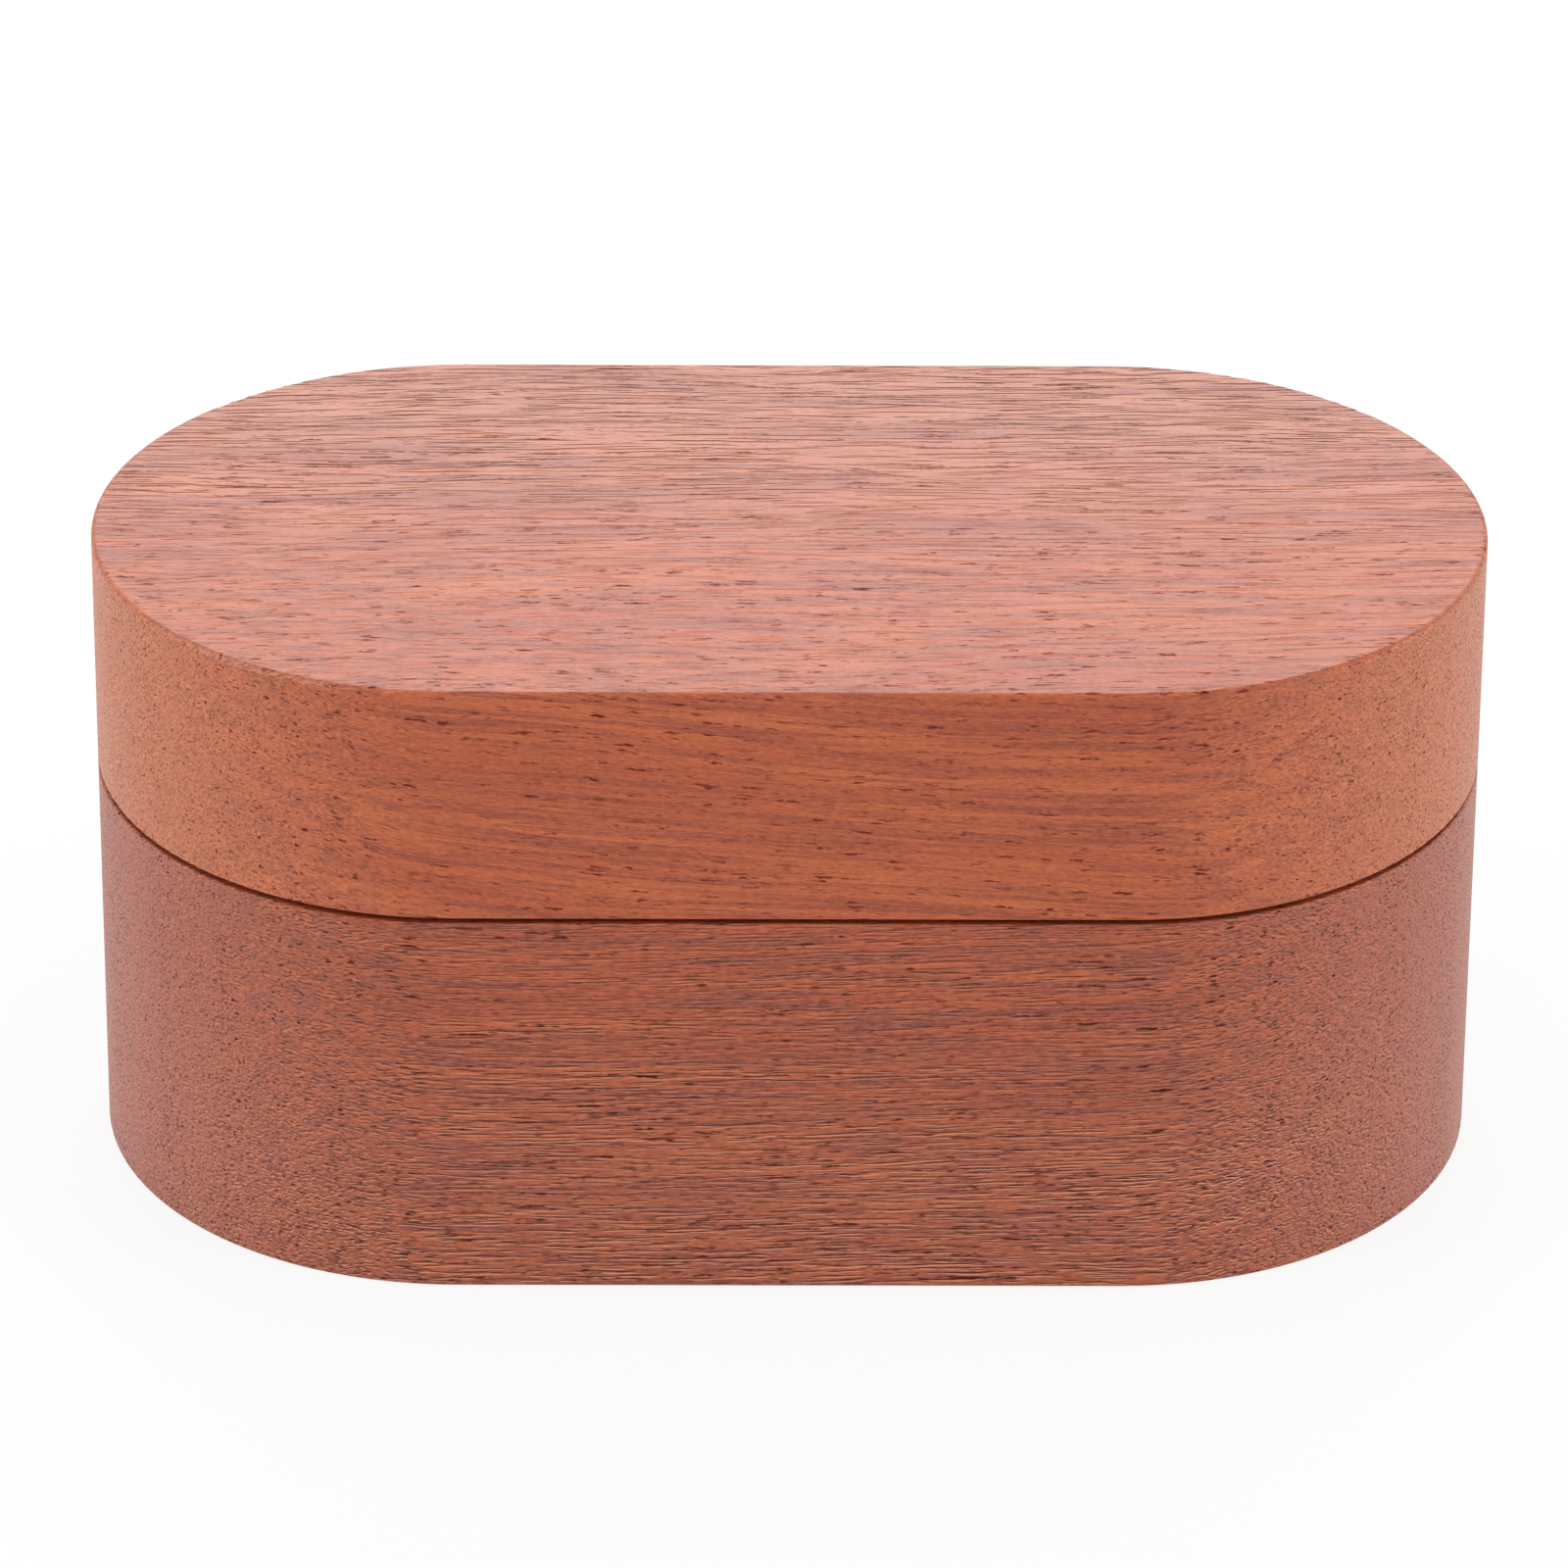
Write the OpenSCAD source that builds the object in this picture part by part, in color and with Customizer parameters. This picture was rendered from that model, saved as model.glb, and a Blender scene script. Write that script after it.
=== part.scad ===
// Wooden guitar pick case. Two blocks of solid wood are milled hollow to the same stadium outline.
// The lid swings on two small brass butt hinges let into the straight back, and disc magnets set in
// the front of both rims hold it shut. A felt pad lines the bottom of each hollow.
// Millimetres, +Z up. The origin is the middle of the underside, and the front faces -Y.

/* [Case] */
// Length over the round ends
case_length = 80; // [76:1:110]
// Width, front to back
case_width = 42; // [38:1:46]
// Height of the base, from its underside to its rim
base_height = 23.8; // [14:0.2:40]
// Height of the lid, from its rim to its top
lid_height = 14.3; // [12:0.1:30]
// Gap between the two rims while the case is shut
seam_gap = 0.3; // [0.1:0.05:0.4]

/* [Wood] */
// Thickness of the side walls
wall = 6; // [6:0.25:9]
// Thickness of the floor of the base
floor_thickness = 4.8; // [3:0.2:7]
// Thickness of the roof of the lid
roof_thickness = 4.4; // [3:0.2:6]
// Radius of the sanded edges round the top and the underside
edge_round = 0.3; // [0.2:0.1:1.2]
// Radius of the sanded edges of both rims
rim_round = 0.12; // [0.06:0.02:0.5]

/* [Hinges] */
// How far the lid swings, in degrees
open_angle = 100; // [90:1:110]
// Distance between the middles of the two hinges
hinge_spacing = 23; // [16:0.5:24]
// Length of each hinge along its pin
hinge_length = 12; // [8:0.5:14]
// Distance of the hinge axis in from the back of the case
hinge_inset = 1.25; // [1.2:0.05:1.6]
// Knuckles along each hinge, an odd number
knuckle_count = 5; // [3:2:5]
// Thickness of the brass sheet of the leaves
leaf_thickness = 0.6; // [0.4:0.05:0.65]
// Reach of each leaf from the hinge axis
leaf_reach = 3.8; // [3.5:0.1:4.4]
// Radius of the free corners of each leaf
leaf_corner = 0.6; // [0.3:0.1:1]
// Diameter of the hinge pins
pin_diameter = 1; // [0.6:0.1:1.1]
// Diameter of the peened heads of the pins
pin_head_diameter = 1.5; // [1.3:0.1:2]
// Thickness of the peened heads of the pins
pin_head_thickness = 0.35; // [0.2:0.05:0.5]

/* [Hinge screws] */
// Diameter of the screw shanks
screw_diameter = 1.1; // [0.8:0.1:1.3]
// Diameter of the countersunk screw heads
screw_head_diameter = 2; // [1.7:0.1:2.2]
// Length of the screws, head included
screw_length = 4.5; // [3:0.5:6]
// Length of the screws' points
screw_point = 0.9; // [0.5:0.1:1.5]
// Distance of the screws from the hinge axis
screw_offset = 2.4; // [2.3:0.05:2.6]
// Distance between the two screws of one leaf
screw_spacing = 7.2; // [4.5:0.1:9]
// Width of the screwdriver slots
slot_width = 0.3; // [0.2:0.05:0.5]
// Depth of the screwdriver slots
slot_depth = 0.22; // [0.1:0.02:0.3]

/* [Magnets] */
// Diameter of the disc magnets
magnet_diameter = 4; // [3:0.5:4.5]
// Thickness of the disc magnets
magnet_thickness = 2; // [1:0.5:3]
// Distance between the two magnets of one rim
magnet_spacing = 28; // [16:1:34]
// Depth of each magnet's face below its rim
magnet_recess = 0.05; // [0:0.05:0.2]

/* [Felt] */
// Thickness of the felt pads
felt_thickness = 1.2; // [0.8:0.1:2]

/* [Clearances] */
// Radial clearance between a hinge pin and its knuckles
pin_clearance = 0.03; // [0.02:0.01:0.06]
// Gap between neighbouring knuckles, half of which stays under each head of a pin
knuckle_gap = 0.1; // [0.06:0.02:0.2]
// Clearance of the hinge barrels in the wood and in the other leaf
barrel_clearance = 0.2; // [0.15:0.05:0.3]
// Clearance round a leaf in its mortise
mortise_clearance = 0.1; // [0.05:0.05:0.3]
// Clearance round the screws in the leaves and in their pilot holes
screw_clearance = 0.03; // [0.02:0.01:0.05]
// Clearance round the magnets in their pockets
magnet_clearance = 0.05; // [0.03:0.01:0.1]
// Clearance round the felt pads in the hollows
felt_clearance = 0.25; // [0.1:0.05:0.5]
// Angle left between the back chamfers when the lid is fully open, in degrees
stop_clearance = 4; // [2:0.5:8]

/* [Hidden] */
$fn = 96;
// Every cut runs this far past the face that it opens
overcut = 1;
case_height = base_height + seam_gap + lid_height;
end_radius = case_width / 2;
straight_length = case_length - case_width;
hollow_radius = end_radius - wall;
// The seam's middle plane holds the hinge axis, and both halves mirror each other about it
seam_z = base_height + seam_gap / 2;
rim_drop = seam_gap / 2;
hinge_y = end_radius - hinge_inset;
chamfer_angle = (open_angle + stop_clearance) / 2;
bore_radius = pin_diameter / 2 + pin_clearance;
knuckle_radius = bore_radius + leaf_thickness;
knuckle_pitch = hinge_length / knuckle_count;
barrel_length = hinge_length + 2 * (knuckle_gap + pin_head_thickness + barrel_clearance);
magnet_y = wall / 2 - end_radius;
// A right-angled countersink: the head narrows to the shank at 45 degrees
screw_head_height = (screw_head_diameter - screw_diameter) / 2;
LEFT = -1;
RIGHT = 1;
WOOD_LID = "#b5694c";
WOOD_BASE = "#a35a45";
BRASS = "#c9a227";
STEEL = "#b9bcc0";
NICKEL = "#d0d2d4";
FELT = "#2b2a2c";

// Carries a half profile round the stadium: x is the distance out from the middle, y the height
module stadium_sweep() {
    rotate([90, 0, 90]) linear_extrude(straight_length, center = true) {
        children();
        mirror([1, 0]) children();
    }
    for (side = [LEFT, RIGHT])
        translate([side * straight_length / 2, 0, 0])
            rotate([0, 0, -90 * side]) rotate_extrude(angle = 180) children();
}

// Half profile of a solid block with its foot and its rim edges sanded round
module block_profile(height) {
    translate([0, edge_round]) square([end_radius, height - edge_round - rim_round]);
    square([end_radius - edge_round, height / 2]);
    translate([0, height / 2]) square([end_radius - rim_round, height / 2]);
    translate([end_radius - edge_round, edge_round]) circle(edge_round);
    translate([end_radius - rim_round, height - rim_round]) circle(rim_round);
}

// Half profile of the hollow, flaring at the rim so that the inner edge is sanded round too
module hollow_profile(height, bottom) {
    translate([-overcut, bottom]) square([hollow_radius + overcut, height - bottom + overcut]);
    translate([hollow_radius, height - rim_round]) difference() {
        square([rim_round, rim_round + overcut]);
        translate([rim_round, 0]) circle(rim_round);
    }
}

// A milled wooden half, standing on its closed side with its rim up
module wooden_half(height, bottom) {
    stadium_sweep() difference() {
        block_profile(height);
        hollow_profile(height, bottom);
    }
}

// Sets what is drawn below the seam's middle plane into the base
module at_base_rim() {
    translate([0, 0, seam_z]) children();
}

// Sets what is drawn below the seam's middle plane into the lid
module at_lid_rim() {
    translate([0, 0, seam_z]) mirror([0, 0, 1]) children();
}

// Moves to the middle of one hinge, on its axis
module at_hinge(side) {
    translate([side * hinge_spacing / 2, hinge_y, 0]) children();
}

// A cylinder along the hinge axis, centred on x
module axle(radius, length, x = 0) {
    translate([x, 0, 0]) rotate([0, 90, 0]) cylinder(r = radius, h = length, center = true);
}

// Places the two screws of one leaf, heads up at the rim
module each_screw() {
    for (side = [LEFT, RIGHT])
        translate([side * screw_spacing / 2, -screw_offset, -rim_drop]) children();
}

// What the hinge takes out of a rim: the leaf's mortise, room for the barrel and two pilot holes
module hinge_cut() {
    mortise_length = hinge_length + 2 * mortise_clearance;
    mortise_reach = leaf_reach + mortise_clearance;
    translate([-mortise_length / 2, -mortise_reach, -rim_drop - leaf_thickness])
        cube([mortise_length, mortise_reach, leaf_thickness + overcut]);
    axle(knuckle_radius + barrel_clearance, barrel_length);
    each_screw() translate([0, 0, -screw_length - screw_point])
        cylinder(d = screw_diameter + 2 * screw_clearance, h = screw_length + screw_point);
}

// The chamfer along the back edge of a rim, which gives the lid room to swing and then stops it
module back_chamfer() {
    run = hinge_inset + overcut;
    translate([0, hinge_y, 0]) rotate([90, 0, 90]) linear_extrude(case_length, center = true)
        polygon([[0, 0], [run, 0], [run, -run * tan(chamfer_angle)]]);
}

// Moves to one magnet's place, on its face
module at_magnet(side) {
    translate([side * magnet_spacing / 2, magnet_y, -rim_drop - magnet_recess]) children();
}

// Pocket for one magnet, open at the rim
module magnet_pocket() {
    translate([0, 0, -magnet_thickness])
        cylinder(d = magnet_diameter + 2 * magnet_clearance, h = magnet_thickness + magnet_recess + overcut);
}

// Everything that is cut into one rim
module rim_cuts() {
    back_chamfer();
    for (side = [LEFT, RIGHT]) {
        at_hinge(side) hinge_cut();
        at_magnet(side) magnet_pocket();
    }
}

module base() {
    color(WOOD_BASE) difference() {
        wooden_half(base_height, floor_thickness);
        at_base_rim() rim_cuts();
    }
}

module lid() {
    color(WOOD_LID) difference() {
        translate([0, 0, case_height]) mirror([0, 0, 1]) wooden_half(lid_height, roof_thickness);
        at_lid_rim() rim_cuts();
    }
}

// One felt pad, cut to the hollow and lying on z = 0
module felt_pad() {
    color(FELT) stadium_sweep() square([hollow_radius - felt_clearance, felt_thickness]);
}

module base_felt() {
    translate([0, 0, floor_thickness]) felt_pad();
}

module lid_felt() {
    translate([0, 0, case_height - roof_thickness - felt_thickness]) felt_pad();
}

// Outline of a leaf from the hinge axis to its free edge, with round free corners
module leaf_outline() {
    translate([-hinge_length / 2, leaf_corner - leaf_reach])
        square([hinge_length, leaf_reach - leaf_corner]);
    translate([leaf_corner - hinge_length / 2, -leaf_reach])
        square([hinge_length - 2 * leaf_corner, leaf_reach]);
    for (side = [LEFT, RIGHT])
        translate([side * (hinge_length / 2 - leaf_corner), leaf_corner - leaf_reach]) circle(leaf_corner);
}

// Middle of one knuckle along the hinge axis
function knuckle_x(index) = (index + 0.5) * knuckle_pitch - hinge_length / 2;

// Half of a butt hinge: a plate set to meet the other leaf, rolled into every second knuckle
module leaf(first_knuckle) {
    color(BRASS) difference() {
        union() {
            translate([0, 0, -rim_drop - leaf_thickness]) linear_extrude(leaf_thickness) leaf_outline();
            for (index = [first_knuckle:2:knuckle_count - 1])
                axle(knuckle_radius, knuckle_pitch - knuckle_gap, knuckle_x(index));
        }
        axle(bore_radius, hinge_length + overcut);
        for (index = [1 - first_knuckle:2:knuckle_count - 1])
            axle(knuckle_radius + barrel_clearance, knuckle_pitch + knuckle_gap, knuckle_x(index));
        each_screw() screw_hole();
    }
}

// Countersunk hole of a leaf
module screw_hole() {
    translate([0, 0, -screw_head_height])
        cylinder(d1 = screw_diameter + 2 * screw_clearance, d2 = screw_head_diameter + 2 * screw_clearance,
                 h = screw_head_height);
    translate([0, 0, -leaf_thickness - overcut])
        cylinder(d = screw_diameter + 2 * screw_clearance, h = leaf_thickness + overcut);
}

// Slotted countersunk wood screw, its head up and level with the leaf
module screw() {
    color(BRASS) difference() {
        union() {
            translate([0, 0, -screw_head_height])
                cylinder(d1 = screw_diameter, d2 = screw_head_diameter, h = screw_head_height);
            translate([0, 0, screw_point - screw_length])
                cylinder(d = screw_diameter, h = screw_length - screw_point - screw_head_height);
            translate([0, 0, -screw_length]) cylinder(d1 = 0, d2 = screw_diameter, h = screw_point);
        }
        translate([-screw_head_diameter, -slot_width / 2, -slot_depth])
            cube([2 * screw_head_diameter, slot_width, slot_depth + overcut]);
    }
}

// Hinge pin with a peened head past the outer knuckle at each end
module hinge_pin() {
    head_x = hinge_length / 2 + pin_head_thickness / 2;
    color(STEEL) {
        axle(pin_diameter / 2, hinge_length + pin_head_thickness);
        for (side = [LEFT, RIGHT]) axle(pin_head_diameter / 2, pin_head_thickness, side * head_x);
    }
}

module hinge_base_leaf(side) {
    at_base_rim() at_hinge(side) leaf(0);
}

module hinge_lid_leaf(side) {
    at_lid_rim() at_hinge(side) leaf(1);
}

module hinge_pin_in_place(side) {
    at_base_rim() at_hinge(side) hinge_pin();
}

module hinge_base_screws(side) {
    at_base_rim() at_hinge(side) each_screw() screw();
}

module hinge_lid_screws(side) {
    at_lid_rim() at_hinge(side) each_screw() screw();
}

// Nickel-plated disc magnet below its face
module magnet() {
    color(NICKEL) translate([0, 0, -magnet_thickness]) cylinder(d = magnet_diameter, h = magnet_thickness);
}

module base_magnet(side) {
    at_base_rim() at_magnet(side) magnet();
}

module lid_magnet(side) {
    at_lid_rim() at_magnet(side) magnet();
}

base();
lid();
base_felt();
lid_felt();
hinge_base_leaf(LEFT);  // left_hinge_base_leaf
hinge_lid_leaf(LEFT);  // left_hinge_lid_leaf
hinge_pin_in_place(LEFT);  // left_hinge_pin
hinge_base_screws(LEFT);  // left_hinge_base_screws
hinge_lid_screws(LEFT);  // left_hinge_lid_screws
hinge_base_leaf(RIGHT);  // right_hinge_base_leaf
hinge_lid_leaf(RIGHT);  // right_hinge_lid_leaf
hinge_pin_in_place(RIGHT);  // right_hinge_pin
hinge_base_screws(RIGHT);  // right_hinge_base_screws
hinge_lid_screws(RIGHT);  // right_hinge_lid_screws
base_magnet(LEFT);  // left_base_magnet
base_magnet(RIGHT);  // right_base_magnet
lid_magnet(LEFT);  // left_lid_magnet
lid_magnet(RIGHT);  // right_lid_magnet
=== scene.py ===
# %% [markdown]
# # A wooden guitar pick case
# The case is a stadium-shaped box of two hollowed blocks of sapele, with a lid on hinges.
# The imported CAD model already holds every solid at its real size, in metres, with +Z up and the front at -Y.
# So this lesson carves no wood: it keeps the solids, and spends its effort on finishes, felt and light.

# %% Load the frame
import math

import bpy
import bmesh
from mathutils import Matrix, Vector, noise


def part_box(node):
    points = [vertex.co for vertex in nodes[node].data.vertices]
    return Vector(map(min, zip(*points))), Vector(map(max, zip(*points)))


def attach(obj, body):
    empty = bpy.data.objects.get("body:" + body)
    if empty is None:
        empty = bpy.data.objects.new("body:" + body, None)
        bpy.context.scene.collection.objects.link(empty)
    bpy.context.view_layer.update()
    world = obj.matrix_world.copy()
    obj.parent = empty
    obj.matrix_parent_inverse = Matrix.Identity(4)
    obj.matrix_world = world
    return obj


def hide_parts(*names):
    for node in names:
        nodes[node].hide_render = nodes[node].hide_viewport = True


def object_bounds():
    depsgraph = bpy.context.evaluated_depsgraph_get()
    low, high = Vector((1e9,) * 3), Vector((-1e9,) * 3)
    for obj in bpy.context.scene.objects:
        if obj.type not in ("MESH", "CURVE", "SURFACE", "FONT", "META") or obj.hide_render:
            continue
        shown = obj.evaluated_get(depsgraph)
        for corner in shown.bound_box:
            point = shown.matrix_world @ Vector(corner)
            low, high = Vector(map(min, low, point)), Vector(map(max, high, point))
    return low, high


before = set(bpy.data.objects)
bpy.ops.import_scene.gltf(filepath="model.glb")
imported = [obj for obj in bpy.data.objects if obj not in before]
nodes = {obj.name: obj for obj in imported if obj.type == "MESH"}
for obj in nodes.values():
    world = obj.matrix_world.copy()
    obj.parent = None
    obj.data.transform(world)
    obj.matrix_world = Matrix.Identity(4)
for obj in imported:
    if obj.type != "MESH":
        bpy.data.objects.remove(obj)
cad_low, cad_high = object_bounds()
MM = 0.001
print("CAD box in mm:", [round(side / MM, 2) for side in cad_high - cad_low])

# %% [markdown]
# ## Camera
# The reference view looks down on the long front side from a little over half a metre away, through a long lens.
# A long lens keeps the sides nearly parallel, which is why small products look solid and calm in it.
# The camera could be placed by eye, but angles, distance and roll round a target are easier to read and to correct.

# %% Camera
IMAGE_SIDE_PX = 1600
SENSOR_WIDTH_MM = 36.0
FOCAL_LENGTH_PX = 9631.0
CAMERA_TARGET = Vector((-0.23, 0.0, 21.43)) * MM
CAMERA_DISTANCE = 549.0 * MM
CAMERA_AZIMUTH = math.radians(-0.50)
CAMERA_ELEVATION = math.radians(28.37)
CAMERA_ROLL = math.radians(0.38)
NEAREST, FARTHEST = 0.01, 20.0

scene = bpy.context.scene
camera = bpy.data.objects.new("camera", bpy.data.cameras.new("camera"))
scene.collection.objects.link(camera)
scene.camera = camera
camera.data.sensor_width = SENSOR_WIDTH_MM
camera.data.lens = FOCAL_LENGTH_PX * SENSOR_WIDTH_MM / IMAGE_SIDE_PX
camera.data.clip_start = NEAREST
camera.data.clip_end = FARTHEST
towards_camera = Vector((
    math.sin(CAMERA_AZIMUTH) * math.cos(CAMERA_ELEVATION),
    -math.cos(CAMERA_AZIMUTH) * math.cos(CAMERA_ELEVATION),
    math.sin(CAMERA_ELEVATION),
))
looking = (-towards_camera).to_track_quat("-Z", "Y").to_matrix().to_4x4()
place = Matrix.Translation(CAMERA_TARGET + CAMERA_DISTANCE * towards_camera)
camera.matrix_world = place @ looking @ Matrix.Rotation(CAMERA_ROLL, 4, "Z")
print("lens in mm:", round(camera.data.lens, 1))

# %% [markdown]
# ## Colours and nodes
# Colours are written as sRGB hex values, the way a colour picker shows them, and one function turns them linear.
# One more small function adds a shader node, sets its properties, and links or fills its inputs.
# A third starts an empty material. With these, a finish reads from top to bottom like a recipe.


# %% Helpers for every material
def linear(hex_colour):
    """An sRGB hex colour as the linear RGBA that shader sockets take."""
    channels = [int(hex_colour[i:i + 2], 16) / 255 for i in (1, 3, 5)]
    return [c / 12.92 if c <= 0.04045 else ((c + 0.055) / 1.055) ** 2.4 for c in channels] + [1.0]


def add(tree, kind, inputs=None, **settings):
    """Adds one shader node. Each input gets a value, another node's first output in use, or a given socket."""
    node = tree.nodes.new("ShaderNode" + kind)
    for name, value in settings.items():
        setattr(node, name, value)
    for key, source in (inputs or {}).items():
        socket = node.inputs[key] if isinstance(key, int) else next(
            s for s in node.inputs if s.enabled and s.name == key)
        if isinstance(source, bpy.types.Node):
            source = next(s for s in source.outputs if s.enabled)
        if isinstance(source, bpy.types.NodeSocket):
            tree.links.new(source, socket)
        else:
            socket.default_value = source
    return node


def new_material(name):
    """An empty node material, and its tree."""
    material = bpy.data.materials.new(name)
    material.use_nodes = True
    material.node_tree.nodes.clear()
    return material, material.node_tree


print("white stays white:", linear("#FFFFFF"))

# %% [markdown]
# ## Sapele: where a point lay in the tree
# Sapele is a reddish hardwood, and its fibres run along the length of the case.
# A flat picture of wood could be wrapped round the box, but its grain would smear round the ends.
# A solid pattern is better: every point asks where it lay in the tree. The long sides then show lines, and the ends
# show the same lines cut across, just as a saw leaves them.
# No grain runs dead straight, so the positions are waved, leaned and bowed a little, in each block in its own way.
# Sapele's grain is interlocked, which means that its lean changes across the tree. In the lid the lean fades towards
# the back, where the top shows its longest lines.

# %% Position in the wood
# Waves have a size and a depth. The grain leans towards the back and upwards, and its slope changes by bow_per_mm.
# Between the two places of twist_mm, from front to back, its rise and fall fade to the share in flat_back.
LID_WOOD = {
    "wave_mm": (30.0, 9.0, 9.0), "wave_depth_mm": 2.5,
    "lean_back": math.radians(0.4), "lean_up": math.radians(-4.0), "bow_per_mm": 0.0016,
    "twist_mm": (-19.0, 2.0), "flat_back": 0.2,
}
BASE_WOOD = {
    **LID_WOOD, "wave_depth_mm": 1.4, "lean_up": math.radians(1.2), "bow_per_mm": 0.0006, "flat_back": 1.0,
}


def grain_position(tree, wood):
    """Millimetre position in the tree, x along the grain, waved, leaned and bowed as this block grew."""
    place = add(tree, "TexCoord").outputs["Object"]
    mm = add(tree, "VectorMath", {0: place, "Scale": 1 / MM}, operation="SCALE")
    wave_at = add(tree, "VectorMath", {0: mm, 1: wood["wave_mm"]}, operation="DIVIDE")
    wave = add(tree, "TexNoise", {"Vector": wave_at, "Scale": 1.0, "Detail": 1.0, "Roughness": 0.45})
    sway = add(tree, "SeparateXYZ", {"Vector": wave.outputs["Color"]})
    depth = wood["wave_depth_mm"]
    spot = add(tree, "SeparateXYZ", {"Vector": mm})
    along = spot.outputs["X"]
    drift = add(tree, "Math", {0: along, 1: -math.tan(wood["lean_back"])}, operation="MULTIPLY")
    sideways = add(tree, "Math", {0: sway.outputs["Y"], 1: depth, 2: drift}, operation="MULTIPLY_ADD")
    slope = add(tree, "Math", {0: along, 1: -wood["bow_per_mm"] / 2, 2: -math.tan(wood["lean_up"])},
                operation="MULTIPLY_ADD")
    climb = add(tree, "Math", {0: slope, 1: along}, operation="MULTIPLY")
    upwards = add(tree, "Math", {0: sway.outputs["Z"], 1: depth, 2: climb}, operation="MULTIPLY_ADD")
    front, back = wood["twist_mm"]
    twist = add(tree, "MapRange", {
        "Value": spot.outputs["Y"], "From Min": front, "From Max": back, "To Min": 1.0, "To Max": wood["flat_back"]},
        interpolation_type="SMOOTHSTEP")
    twisted = add(tree, "Math", {0: upwards, 1: twist}, operation="MULTIPLY")
    shift = add(tree, "CombineXYZ", {"Y": sideways, "Z": twisted})
    return add(tree, "VectorMath", {0: mm, 1: shift}, operation="ADD")


print("slope of the grain on the front in degrees: lid", round(math.degrees(LID_WOOD["lean_up"]), 1),
      "base", round(math.degrees(BASE_WOOD["lean_up"]), 1))

# %% [markdown]
# ## Sapele: growth bands
# A tree grows a ring each year, and the two halves of a ring differ a little in colour.
# Rings could be drawn as even circles, but real ones are wide in good years and narrow in bad ones.
# So noise runs along the distance from the heart of the tree, which gives bands of uneven width.
# A little of the length goes into it too, so that the bands fade in and out.

# %% Growth bands
LID_WOOD.update(heart_mm=(48.0, -55.0), band_mm=1.6, band_length_mm=30.0)
BASE_WOOD.update(heart_mm=(48.0, -62.0), band_mm=1.4, band_length_mm=30.0)


def growth_bands(tree, wood, place):
    """Light and dark bands by distance from the heart of the tree, from 0 to 1."""
    section = add(tree, "VectorMath", {0: place, 1: (0.0, 1.0, 1.0)}, operation="MULTIPLY")
    heart = (0.0, *wood["heart_mm"])
    radius = add(tree, "VectorMath", {0: section, 1: heart}, operation="DISTANCE").outputs["Value"]
    ring = add(tree, "Math", {0: radius, 1: wood["band_mm"]}, operation="DIVIDE")
    along = add(tree, "SeparateXYZ", {"Vector": place}).outputs["X"]
    stretch = add(tree, "Math", {0: along, 1: wood["band_length_mm"]}, operation="DIVIDE")
    at = add(tree, "CombineXYZ", {"X": stretch, "Y": ring})
    return add(tree, "TexNoise", {"Vector": at, "Scale": 1.0, "Detail": 2.0, "Roughness": 0.6},
               noise_dimensions="2D")


print("growth bands in mm: lid", LID_WOOD["band_mm"], "base", BASE_WOOD["band_mm"])

# %% [markdown]
# ## Sapele: streaks and the crowded zone
# Much in wood is drawn out along the grain: fibres, streaks of colour, even the crumbs that sandpaper leaves.
# They could be drawn one by one, but noise that is squeezed across the grain gives all of them, each with its size.
# Vessels crowd together in some years of growth, so a slow change across each block tells how crowded they are.
# In the lid they crowd towards the back, and in the base towards the underside.

# %% Streaks and the crowded zone
LID_WOOD.update(zone_axis=(0.0, 1.0, 0.0), zone_mm=(-11.0, 19.0))
BASE_WOOD.update(zone_axis=(0.0, 0.0, -1.0), zone_mm=(-20.0, -5.0))


def streaks(tree, place, size_mm, detail, roughness):
    """Uneven streaks of about this length, width and height in millimetres."""
    at = add(tree, "VectorMath", {0: place, 1: size_mm}, operation="DIVIDE")
    return add(tree, "TexNoise", {"Vector": at, "Scale": 1.0, "Detail": detail, "Roughness": roughness})


def crowded_zone(tree, wood, place):
    """How crowded the vessels are here, from 0 to 1."""
    depth = add(tree, "VectorMath", {0: place, 1: wood["zone_axis"]}, operation="DOT_PRODUCT").outputs["Value"]
    start, end = wood["zone_mm"]
    return add(tree, "MapRange", {"Value": depth, "From Min": start, "From Max": end},
               interpolation_type="SMOOTHSTEP")


print("depth of the crowded zone in mm: lid", LID_WOOD["zone_mm"], "base", BASE_WOOD["zone_mm"])

# %% [markdown]
# ## Sapele: furrows between the fibres
# Sanding wears the soft wood between bundles of fibres a little deeper, which leaves shallow furrows.
# Light from above draws each furrow with a dark upper lip and a pale lower one.
# Bump could do that alone, but a furrow is only two or three pixels wide here, and at that size bump fades to grey.
# So the light on the lips is painted into the colour too, as painted shade and a painted highlight: the furrows are
# read twice, a lip's width apart, and where the two readings differ there is a lip. The step goes along the surface,
# so the lips stay right on every side.

# %% Furrows
# Single fibres are about 0.02 mm wide, far too fine to show, so these are bundles of about ten.
# The lip step points up and back, towards the lamps, so it sets which lip gets painted shade and which a painted
# highlight.
LID_WOOD.update(fibre_mm=(5.0, 0.23, 0.20), lip_mm=(0.0, 0.095, 0.07))
BASE_WOOD.update(fibre_mm=(2.8, 0.17, 0.125), lip_mm=(0.0, 0.07, 0.07))
# Most of the noise lies between 0.3 and 0.7, so levels in this range decide where a furrow starts and is full depth.
FURROW_STARTS, FURROW_FULL = 0.53, 0.60


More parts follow.
